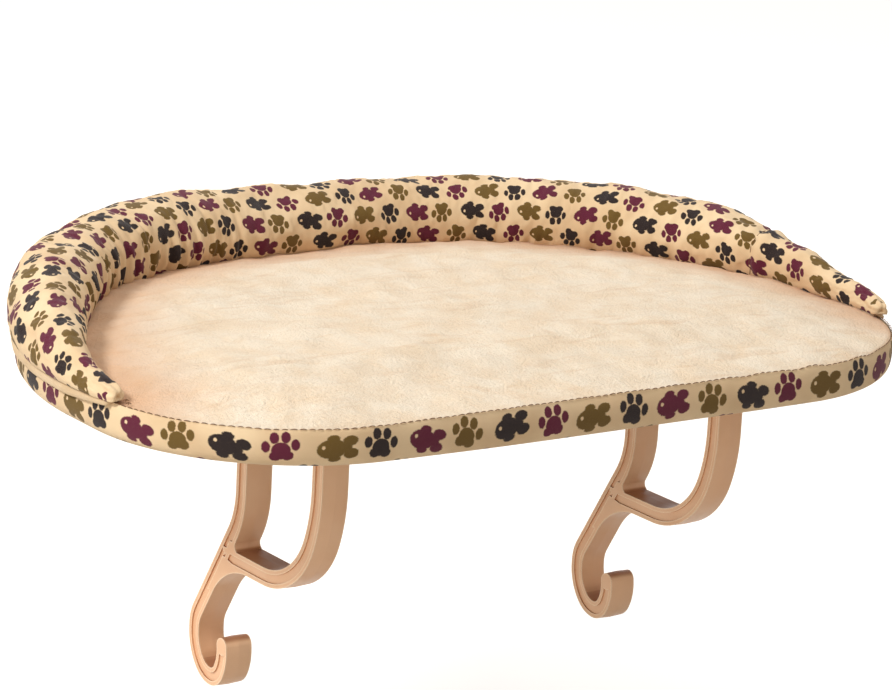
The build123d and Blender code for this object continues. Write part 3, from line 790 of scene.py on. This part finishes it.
# ---------------- pad: fleece top and printed band
def build_fleece(edge, normals):
    """Fleece top as a triangulated sheet inside the seam, tucked under at its edge."""
    rng = np.random.default_rng(11)
    inner = []
    row = 0
    y = Y_FRONT + FLEECE_STEP
    while y < Y_REAR - FLEECE_STEP:
        x = -PAD_LENGTH / 2 + (FLEECE_STEP / 2 if row % 2 else 0)
        while x < PAD_LENGTH / 2:
            inner.append((x, y))
            x += FLEECE_STEP
        y += FLEECE_STEP * TRIANGLE_HEIGHT
        row += 1
    inner = np.array(inner) + rng.uniform(-FLEECE_JOSTLE, FLEECE_JOSTLE, (len(inner), 2))
    inner = inner[edge_distance(inner) > FLEECE_CLEAR]
    rims = [edge - normals * inset for inset in RIM_INSETS]
    plan = [Vector(p) for p in np.vstack([*rims, inner])]
    count = len(edge)
    edges = [(i, (i + 1) % count) for i in range(count)]
    out = delaunay_2d_cdt(plan, edges, [], 1, 1e-7)
    pts = np.array([tuple(v) for v in out[0]])
    depth_in = edge_distance(pts)
    z = Z_SEAM - RIM_TUCK + crown(np.maximum(depth_in, 0)) + np.where(depth_in > 0.001, RIM_TUCK, 0.0)
    z += seam_wave(pts) * np.clip(1 - depth_in / 0.02, 0, 1)
    verts = np.column_stack([pts, z])
    faces = [tuple(reversed(f)) if flipped(pts, f) else tuple(f) for f in out[2]]
    # The map holds the distance from the bolster's foot and the distance in from the edge, which the fleece's
    # painted shade follows
    foot, rim_in = foot_distance(pts), np.maximum(depth_in, 0)
    uv = [(foot[i], rim_in[i]) for f in faces for i in f]
    fleece = new_mesh("fleece_pile", verts, faces, uv)
    pinned = np.where(depth_in < 0.0015, 1.0, 0.0)
    cap = 0.001 + 0.004 * np.clip(depth_in / 0.03, 0, 1)
    inflate(fleece, pinned, pressure=2.2, cap=cap, frames=14, stiffness=8.0)
    co = positions(fleece)
    soft = np.clip(edge_distance(co[:, :2]) / 0.02, 0, 1)
    lumps = 0.0011 * wave_noise(co, 0.070, 3) + 0.0008 * wave_noise(co, 0.026, 4)
    co[:, 2] += soft * (lumps + 0.00045 * wave_noise(co, 0.011, 5))
    set_positions(fleece, co)
    return fleece


def build_band(edge, normals, places, total):
    """Printed cloth round the pad, rolled over at its top seam and under at its foot."""
    rings = len(BAND_PROFILE)
    verts = []
    lift, sag = seam_wave(edge), front_sag(edge)
    for drop, out, hang in BAND_PROFILE:
        ring = edge + normals * out
        change = lift * max(0.0, 1 - drop / 0.010) - sag * hang
        verts.extend((x, y, Z_SEAM - drop + more) for (x, y), more in zip(ring, change))
    verts = np.array(verts)
    faces, uv = [], []
    rear_middle = places[np.hypot(edge[:, 0], edge[:, 1] - Y_REAR).argmin()]
    lengths = np.hypot(*np.diff(np.array(BAND_PROFILE)[:, :2], axis=0).T)
    run_down = np.concatenate([[0], np.cumsum(lengths)])
    for i in range(rings - 1):
        for j in range(AROUND):
            k = (j + 1) % AROUND
            a, b = i * AROUND, (i + 1) * AROUND
            faces.append((a + j, b + j, b + k, a + k))
            u0 = (places[j] - rear_middle) % total
            u1 = u0 + total / AROUND
            v0, v1 = -run_down[i], -run_down[i + 1]
            uv += [(u0, v0), (u0, v1), (u1, v1), (u1, v0)]
    band = new_mesh("printed_boxing", verts, faces, uv)
    pinned = [1.0 if i < AROUND or i >= (rings - 2) * AROUND else 0.0 for i in range(len(verts))]
    inflate(band, pinned, pressure=3.0, cap=0.0022, frames=16, stiffness=10.0)
    co = positions(band)
    level = (Z_SEAM - co[:, 2]) / 0.024
    pull = np.exp(-(((level - 0.08) / 0.16) ** 2))
    belly = np.clip(level * 4, 0, 1) * np.clip((1 - level) * 4, 0, 1)
    ripple = 0.00045 * wave_noise(co, 0.020, 8) * pull + 0.0005 * wave_noise(co, 0.055, 9) * belly
    co[:, :2] += np.vstack([normals] * rings) * ripple[:, None]
    set_positions(band, co)
    return band


fleece = build_fleece(edge, edge_normals)
fleece.data.materials.append(FLEECE)
band = build_band(edge, edge_normals, edge_places, edge_total)
band.data.materials.append(BAND_PRINT)


# ---------------- bolster
def creases():
    """Folds across the bolster's inner side: run, width, depth, slant and how far up they reach."""
    rng = np.random.default_rng(23)
    rows = []
    for start, end, gap, deepest in (
        (0.10, 0.50, 0.0125, 0.0036),
        (tube_total - 0.42, tube_total - 0.05, 0.0230, 0.0013),
    ):
        at = start
        while at < end:
            mid = 1 - abs(2 * (at - start) / (end - start) - 1)
            deep = deepest * (0.35 + 0.65 * min(1.0, 2 * mid)) * rng.uniform(0.5, 1.0)
            width = rng.uniform(0.0024, 0.0038)
            rows.append((at, width, deep, rng.uniform(-0.006, 0.006), rng.uniform(0.9, 2.2)))
            at += gap * rng.uniform(0.6, 1.4)
    return rows


def build_bolster():
    """Stuffed tube round the left end, the rear and the right end, with gathered tips."""
    steps, around = TUBE_STEPS, TUBE_AROUND
    angles = TUBE_ANGLES
    radii = tube_radii * CUT_SHARE
    low = Z_SEAM + FLANGE_HEIGHT
    out = radii[:, None] * np.cos(angles)
    plan = tube_centres[:, None, :] + tube_normals[:, None, :] * out[:, :, None]
    height = Z_SEAM + TUBE_RISE_SHARE * radii[:, None] + radii[:, None] * np.sin(angles)
    height = np.maximum(height, low)
    verts = np.dstack([plan, height]).reshape(-1, 3)
    bend = np.zeros(steps)
    turn = np.cross(tube_normals[:-8], tube_normals[8:])
    bend[4:-4] = np.abs(turn) / 0.09
    growth = np.clip(bend[:, None], 0, 1) * np.maximum(0.0, -np.cos(angles))
    pins = np.where(height < low + 0.003, 1.0, 0.0)
    pins[[0, -1], :] = 1.0
    rng = np.random.default_rng(5)
    verts += rng.normal(0, 0.0004, verts.shape) * (1 - pins.reshape(-1, 1))
    spacing = tube_total / (steps - 1)
    faces, uv = [], []
    for f in tube_faces(steps, around):
        i, j = divmod(f[0], around)
        faces.append(tuple(reversed(f)))
        corners = []
        for ii, jj in ((i, j), (i, j + 1), (i + 1, j + 1), (i + 1, j)):
            arc = 2 * math.pi * tube_radii[ii] / around
            corners.append((ii * spacing, (jj - around / 2) * arc))
        uv += list(reversed(corners))
    tube = new_mesh("stuffed_bolster", verts, faces, uv)
    more = {"growth": growth.ravel(), "most_growth": 0.18}
    inflate(tube, pins.ravel(), pressure=5.0, cap=0.006, frames=24, stiffness=16.0, bending=0.2, **more)
    shape_bolster(tube)
    close_tips(tube)
    return tube


def shape_bolster(tube):
    """Bring the swollen tube to its real girth, then crease it and pinch its seam and tips."""
    steps, around = TUBE_STEPS, TUBE_AROUND
    co = positions(tube).reshape(steps, around, 3)
    middle = np.column_stack([tube_centres, Z_SEAM + TUBE_RISE_SHARE * tube_radii])[:, None, :]
    spoke = co - middle
    girth = np.linalg.norm(spoke[:, around // 4 : -around // 4], axis=2).mean(axis=1)
    ratio = smoothed(tube_radii / girth, 11, mode="edge")
    spoke *= ratio[:, None, None]
    length = np.linalg.norm(spoke, axis=2)
    free = np.clip((co[:, :, 2] - Z_SEAM - FLANGE_HEIGHT) / 0.006, 0, 1)
    change = np.zeros((steps, around))
    run = tube_places[:, None] + np.zeros(around)
    # Turn round the tube from its inner side
    turn = WRAPPED_ANGLES - math.pi
    for at, width, deep, slant, reach in creases():
        off = run - at - slant * turn
        span = np.clip(1 - np.abs(turn - 0.25) / reach, 0, 1) ** 0.7
        fold = np.exp(-((off / width) ** 2))
        swell = np.exp(-(((np.abs(off) - 2.1 * width) / width) ** 2))
        change -= deep * span * (fold - 0.45 * swell)
    flat = (middle + spoke).reshape(-1, 3)
    lumps = 0.0010 * wave_noise(flat, 0.060, 15) + 0.0006 * wave_noise(flat, 0.024, 16)
    change += lumps.reshape(steps, around)
    over = run - (tube_total - SEAM_FROM_RIGHT_TIP) - SEAM_BOW * np.cos(turn)
    change -= SEAM_PINCH * np.exp(-((over / PINCH_WIDTH) ** 2))
    change += SEAM_RIDGE * np.exp(-(((over - RIDGE_OFFSET) / RIDGE_WIDTH) ** 2)) * (over > 0)
    from_tip = np.minimum(tube_places, tube_total - tube_places)
    gather = np.exp(-from_tip / GATHER_REACH)[:, None]
    start = 2.0 * np.sin(from_tip / 0.02) + np.where(tube_places < 0.5, 0.6, 2.1)
    lobes = np.sin(PLEATS * WRAPPED_ANGLES + start[:, None])
    change += gather * tube_radii[:, None] * GATHER_DEPTH * lobes
    spoke *= ((length + change * free) / length)[:, :, None]
    set_positions(tube, (middle + spoke).reshape(-1, 3))


def close_tips(tube):
    """Round the bolster's two ends over into a gathered, dimpled close."""
    steps, around = TUBE_STEPS, TUBE_AROUND
    mesh = tube.data
    work = bmesh.new()
    work.from_mesh(mesh)
    points = list(work.verts)
    layer = work.loops.layers.uv["Run"]
    for last, before in ((0, 1), (steps - 1, steps - 2)):
        ring = [points[last * around + j] for j in range(around)]
        centre = sum((v.co for v in ring), Vector()) / around
        inner = sum((points[before * around + j].co for j in range(around)), Vector()) / around
        ahead = (centre - inner).normalized()
        size = sum((v.co - centre).length for v in ring) / around
        rows = [ring]
        for share, forward in TIP_ROWS:
            row = []
            for j, v in enumerate(ring):
                pleat = 1 + PLEAT_DEPTH * math.sin(PLEATS * 2 * math.pi * j / around) * (1 - share)
                row.append(work.verts.new(centre + (v.co - centre) * share * pleat + ahead * forward * size))
            rows.append(row)
        hub = work.verts.new(centre + ahead * TIP_HUB * size)
        made = []
        for a, b in zip(rows, rows[1:]):
            for j in range(around):
                k = (j + 1) % around
                quad = (a[j], a[k], b[k], b[j]) if last == 0 else (a[j], b[j], b[k], a[k])
                made.append(work.faces.new(quad))
        for j in range(around):
            k = (j + 1) % around
            tri = (rows[-1][j], rows[-1][k], hub) if last == 0 else (rows[-1][k], rows[-1][j], hub)
            made.append(work.faces.new(tri))
        for face in made:
            face.smooth = True
            for loop in face.loops:
                off = loop.vert.co - centre
                along = off.dot(ahead) * (-1 if last == 0 else 1)
                loop[layer].uv = (
                    PLAIN_SPOT[0] + PLAIN_SPOT_SCALE * along,
                    PLAIN_SPOT[1] + PLAIN_SPOT_SCALE * off.z,
                )
    work.to_mesh(mesh)
    work.free()
    mesh.update()


bolster = build_bolster()
bolster.data.materials.append(TUBE_PRINT)


# ---------------- hem and stitches
# Folded hem's section: reach outward and height, from under the bolster over the lip and back
HEM_SECTION = (
    (-0.0120, 0.0011),
    (-0.0020, 0.0019),
    (0.0018, 0.0024),
    (0.0040, 0.0014),
    (0.0051, -0.0008),
    (0.0054, -0.0034),
    (0.0049, -0.0058),
    (0.0040, -0.0061),
    (0.0034, -0.0044),
    (0.0031, -0.0014),
    (0.0014, -0.0002),
    (-0.0060, -0.0002),
)


def build_hem():
    """Folded hem that lies over the boxing's top seam, from tip to tip of the bolster."""
    steps, count = HEM_STEPS, len(HEM_SECTION)
    points, normals, places, total = walk(bolster_runs(), steps, closed=False)
    normals = -normals
    verts, uv = [], []
    for i in range(steps):
        near = min(places[i], total - places[i])
        lip = 0.25 + 0.75 * min(1.0, near / 0.045)
        wobble = 0.0004 * math.sin(places[i] / 0.019) + 0.0003 * math.sin(places[i] / 0.0073 + 1)
        for out, up in HEM_SECTION:
            reach = out + (wobble if out > 0 else 0.0)
            drop = up * lip if up < 0 else up
            x, y = points[i] + normals[i] * reach
            verts.append((x, y, Z_SEAM + drop + 0.4 * wobble))
    faces = []
    for i in range(steps - 1):
        for j in range(count):
            k = (j + 1) % count
            a = i * count
            faces.append((a + j, a + count + j, a + count + k, a + k))
            u0, u1 = places[i], places[i + 1]
            v0, v1 = j * 0.002, (j + 1) * 0.002
            uv += [(u0, v0), (u1, v0), (u1, v1), (u0, v1)]
    faces += [tuple(range(count)), tuple(reversed(range((steps - 1) * count, steps * count)))]
    uv += [(0.0, 0.0)] * (2 * count)
    return new_mesh("flange_hem", verts, faces, uv)


def thread(name, paths, radius, sides=6):
    """Closed round threads along lists of points, in one mesh."""
    verts, faces = [], []
    for path in paths:
        path = [Vector(p) for p in path]
        first = len(verts)
        for i, p in enumerate(path):
            ahead = (path[min(i + 1, len(path) - 1)] - path[max(i - 1, 0)]).normalized()
            side = ahead.cross(Vector((0, 0, 1)))
            side = side.normalized() if side.length > 0.05 else Vector((1, 0, 0))
            up = side.cross(ahead)
            thin = 0.45 if i in (0, len(path) - 1) else 1.0
            for k in range(sides):
                a = 2 * math.pi * k / sides
                verts.append(p + (side * math.cos(a) + up * math.sin(a)) * radius * thin)
        faces += [tuple(first + i for i in face) for face in tube_faces(len(path), sides)]
        faces.append(tuple(reversed(range(first, first + sides))))
        last = first + (len(path) - 1) * sides
        faces.append(tuple(range(last, last + sides)))
    piece = new_mesh(name, verts, faces)
    piece.data.materials.append(THREAD)
    return piece


def cross_seam():
    """Sewn line in the pinch where two lengths of the bolster's cover join."""
    co = positions(bolster)[: TUBE_STEPS * TUBE_AROUND].reshape(TUBE_STEPS, TUBE_AROUND, 3)
    seam_run = tube_total - SEAM_FROM_RIGHT_TIP
    spacing = tube_total / (TUBE_STEPS - 1)
    paths, path = [], []
    for j in range(TUBE_AROUND):
        at = (seam_run + SEAM_BOW * math.cos(WRAPPED_ANGLES[j] - math.pi)) / spacing
        i = int(at)
        p = co[i, j] * (1 - at + i) + co[i + 1, j] * (at - i)
        middle = np.array([*tube_centres[i], Z_SEAM + TUBE_RISE_SHARE * tube_radii[i]])
        if p[2] < Z_SEAM + FLANGE_HEIGHT + 0.001:
            continue
        away = (p - middle) / np.linalg.norm(p - middle)
        path.append(p + away * 0.0004)
        if len(path) == 3:
            paths.append(path)
            path = []
    return thread("cross_seam_stitches", paths, STITCH_RADIUS * 1.3)


def front_stitches():
    """Running stitch in the crease of the front seam, from the left tip to the right tip."""
    rng = np.random.default_rng(31)
    paths = []
    runs = [outline_runs()[i] for i in (-1, 0, 1)]
    at = FRONT_RADIUS * math.radians(LEFT_TIP_ANGLE) + 0.002
    end = sum(run_length(run) for run in runs) - FRONT_RADIUS * math.radians(RIGHT_TIP_ANGLE) - 0.004
    while at < end:
        size = STITCH_LENGTH * rng.uniform(0.85, 1.15)
        path = []
        for k in range(5):
            p, n = place_on(runs, at + size * k / 4)
            sag = STITCH_SINK * (1 - math.sin(math.pi * k / 4))
            up = STITCH_SINK - sag + seam_wave([p])[0]
            path.append((*(p + n * (STITCH_OUT - sag)), Z_SEAM + up))
        paths.append(path)
        at += size + STITCH_GAP * rng.uniform(0.8, 1.3)
    return thread("seam_stitches", paths, STITCH_RADIUS)


def tip_stitches():
    """Small crossed hand stitches that tack each gathered tip of the bolster to the pad."""
    paths = []
    for last, before in ((0, 6), (TUBE_STEPS - 1, TUBE_STEPS - 7)):
        tip, back = tube_centres[last], tube_centres[before]
        ahead = (tip - back) / np.linalg.norm(tip - back)
        out = tube_normals[last]
        for along, off in ((0.0062, -0.0052), (0.0112, -0.0036)):
            for way in (-1, 1):
                path = []
                for i in range(5):
                    share = i / 4 - 0.5
                    p = tip + ahead * (along + 0.0030 * share) + out * (off + 0.0026 * share * way)
                    depth = max(0.0, edge_distance([p])[0])
                    lift = 0.0009 + 0.0009 * math.cos(math.pi * share)
                    path.append((p[0], p[1], Z_SEAM + float(crown(depth)) + lift))
                paths.append(path)
    return thread("tip_stitches", paths, STITCH_RADIUS)


hem = build_hem()
hem.data.materials.append(HEM)
seam_thread = front_stitches()
tip_thread = tip_stitches()
cross_thread = cross_seam()


def ride_all():
    """Seat each cloth piece on the root body; smooth those that stand for CAD parts, and hide those parts."""
    for piece, slot_name, stands_for in (
        (fleece, "fleece", ("fleece_top", "foam_pad")),
        (band, "printed_cloth", ("printed_band",)),
        (bolster, "printed_cloth", ("bolster_cover", "bolster_fill")),
        (hem, "printed_cloth", ("bolster_flange",)),
        (seam_thread, "printed_cloth", ()),
        (tip_thread, "printed_cloth", ()),
        (cross_thread, "printed_cloth", ()),
    ):
        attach(piece, ROOT)
        if stands_for:
            smooth = piece.modifiers.new("smooth", "SUBSURF")
            smooth.levels = smooth.render_levels = 1
            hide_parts(*stands_for)


ride_all()


# ---------------- stage, light and camera
def white_to_camera(tree):
    """1 where the camera, a reflection or clear plastic looks, and 0 for light."""
    path = node(tree, "LightPath").outputs
    clear = node(tree, "Math", (path["Is Glossy Ray"], path["Is Transmission Ray"]), operation="MAXIMUM")
    return node(tree, "Math", (path["Is Camera Ray"], clear.outputs[0]), operation="MAXIMUM").outputs[0]


def build_stage():
    """Pale floor that keeps the object's shadow, and a white surround."""
    size = FLOOR_HALF
    corners = [(x, y, FLOOR_Z) for x, y in ((-size, -size), (size, -size), (size, size), (-size, size))]
    mesh = bpy.data.meshes.new("studio_floor")
    mesh.from_pydata(corners, [], [(0, 1, 2, 3)])
    floor = placed("studio_floor", mesh)
    material = bpy.data.materials.new("studio_floor")
    tree = cleared(material)
    diffuse = node(tree, "BsdfDiffuse", {"Color": FLOOR_COLOUR})
    strength = node(tree, "Math", (white_to_camera(tree), FLOOR_GLOW), operation="MULTIPLY")
    glow = node(tree, "Emission", {"Color": WHITE, "Strength": strength.outputs[0]})
    both = node(tree, "AddShader", (diffuse.outputs[0], glow.outputs[0]))
    node(tree, "OutputMaterial", (both.outputs[0],))
    mesh.materials.append(material)

    world = bpy.data.worlds.new("studio")
    bpy.context.scene.world = world
    tree = cleared(world)
    dim = node(tree, "Background", (WORLD_COLOUR, WORLD_LEVEL))
    white = node(tree, "Background", (WHITE, 1.0))
    pick = node(tree, "MixShader", (white_to_camera(tree), dim.outputs[0], white.outputs[0]))
    node(tree, "OutputWorld", (pick.outputs[0],))


def area_light(name, place, target, size, power, colour):
    """Round lamp at a place, aimed at its target."""
    data = bpy.data.lights.new(name, "AREA")
    data.shape = "DISK"
    data.size = size
    data.energy = power
    data.color = colour
    lamp = placed(name, data)
    lamp.location = place
    aim = Vector(target) - Vector(place)
    lamp.rotation_mode = "QUATERNION"
    lamp.rotation_quaternion = aim.to_track_quat("-Z", "Y")


def build_camera():
    """Camera at the photograph's viewing angle, from the room, left of the middle and a little above."""
    yaw, pitch, roll = (math.radians(turn) for turn in (CAMERA_YAW, CAMERA_PITCH, CAMERA_ROLL))
    ahead = Vector((math.sin(yaw) * math.cos(pitch), math.cos(yaw) * math.cos(pitch), -math.sin(pitch)))
    right = Vector((math.cos(yaw), -math.sin(yaw), 0.0))
    up = right.cross(ahead)
    right2 = right * math.cos(roll) + up * math.sin(roll)
    up2 = up * math.cos(roll) - right * math.sin(roll)
    data = bpy.data.cameras.new("camera")
    data.sensor_width = SENSOR_MM
    data.lens = FOCAL_PX / WIDTH_PX * SENSOR_MM
    data.clip_start, data.clip_end = 0.05, 60.0
    camera = placed("camera", data)
    turn = Matrix((right2, up2, -ahead)).transposed()
    camera.matrix_world = Matrix.Translation(CAMERA_PLACE) @ turn.to_4x4()
    bpy.context.scene.camera = camera


build_stage()
for lamp in LAMPS:
    area_light(*lamp)
build_camera()
bpy.context.scene.view_settings.view_transform = "Standard"
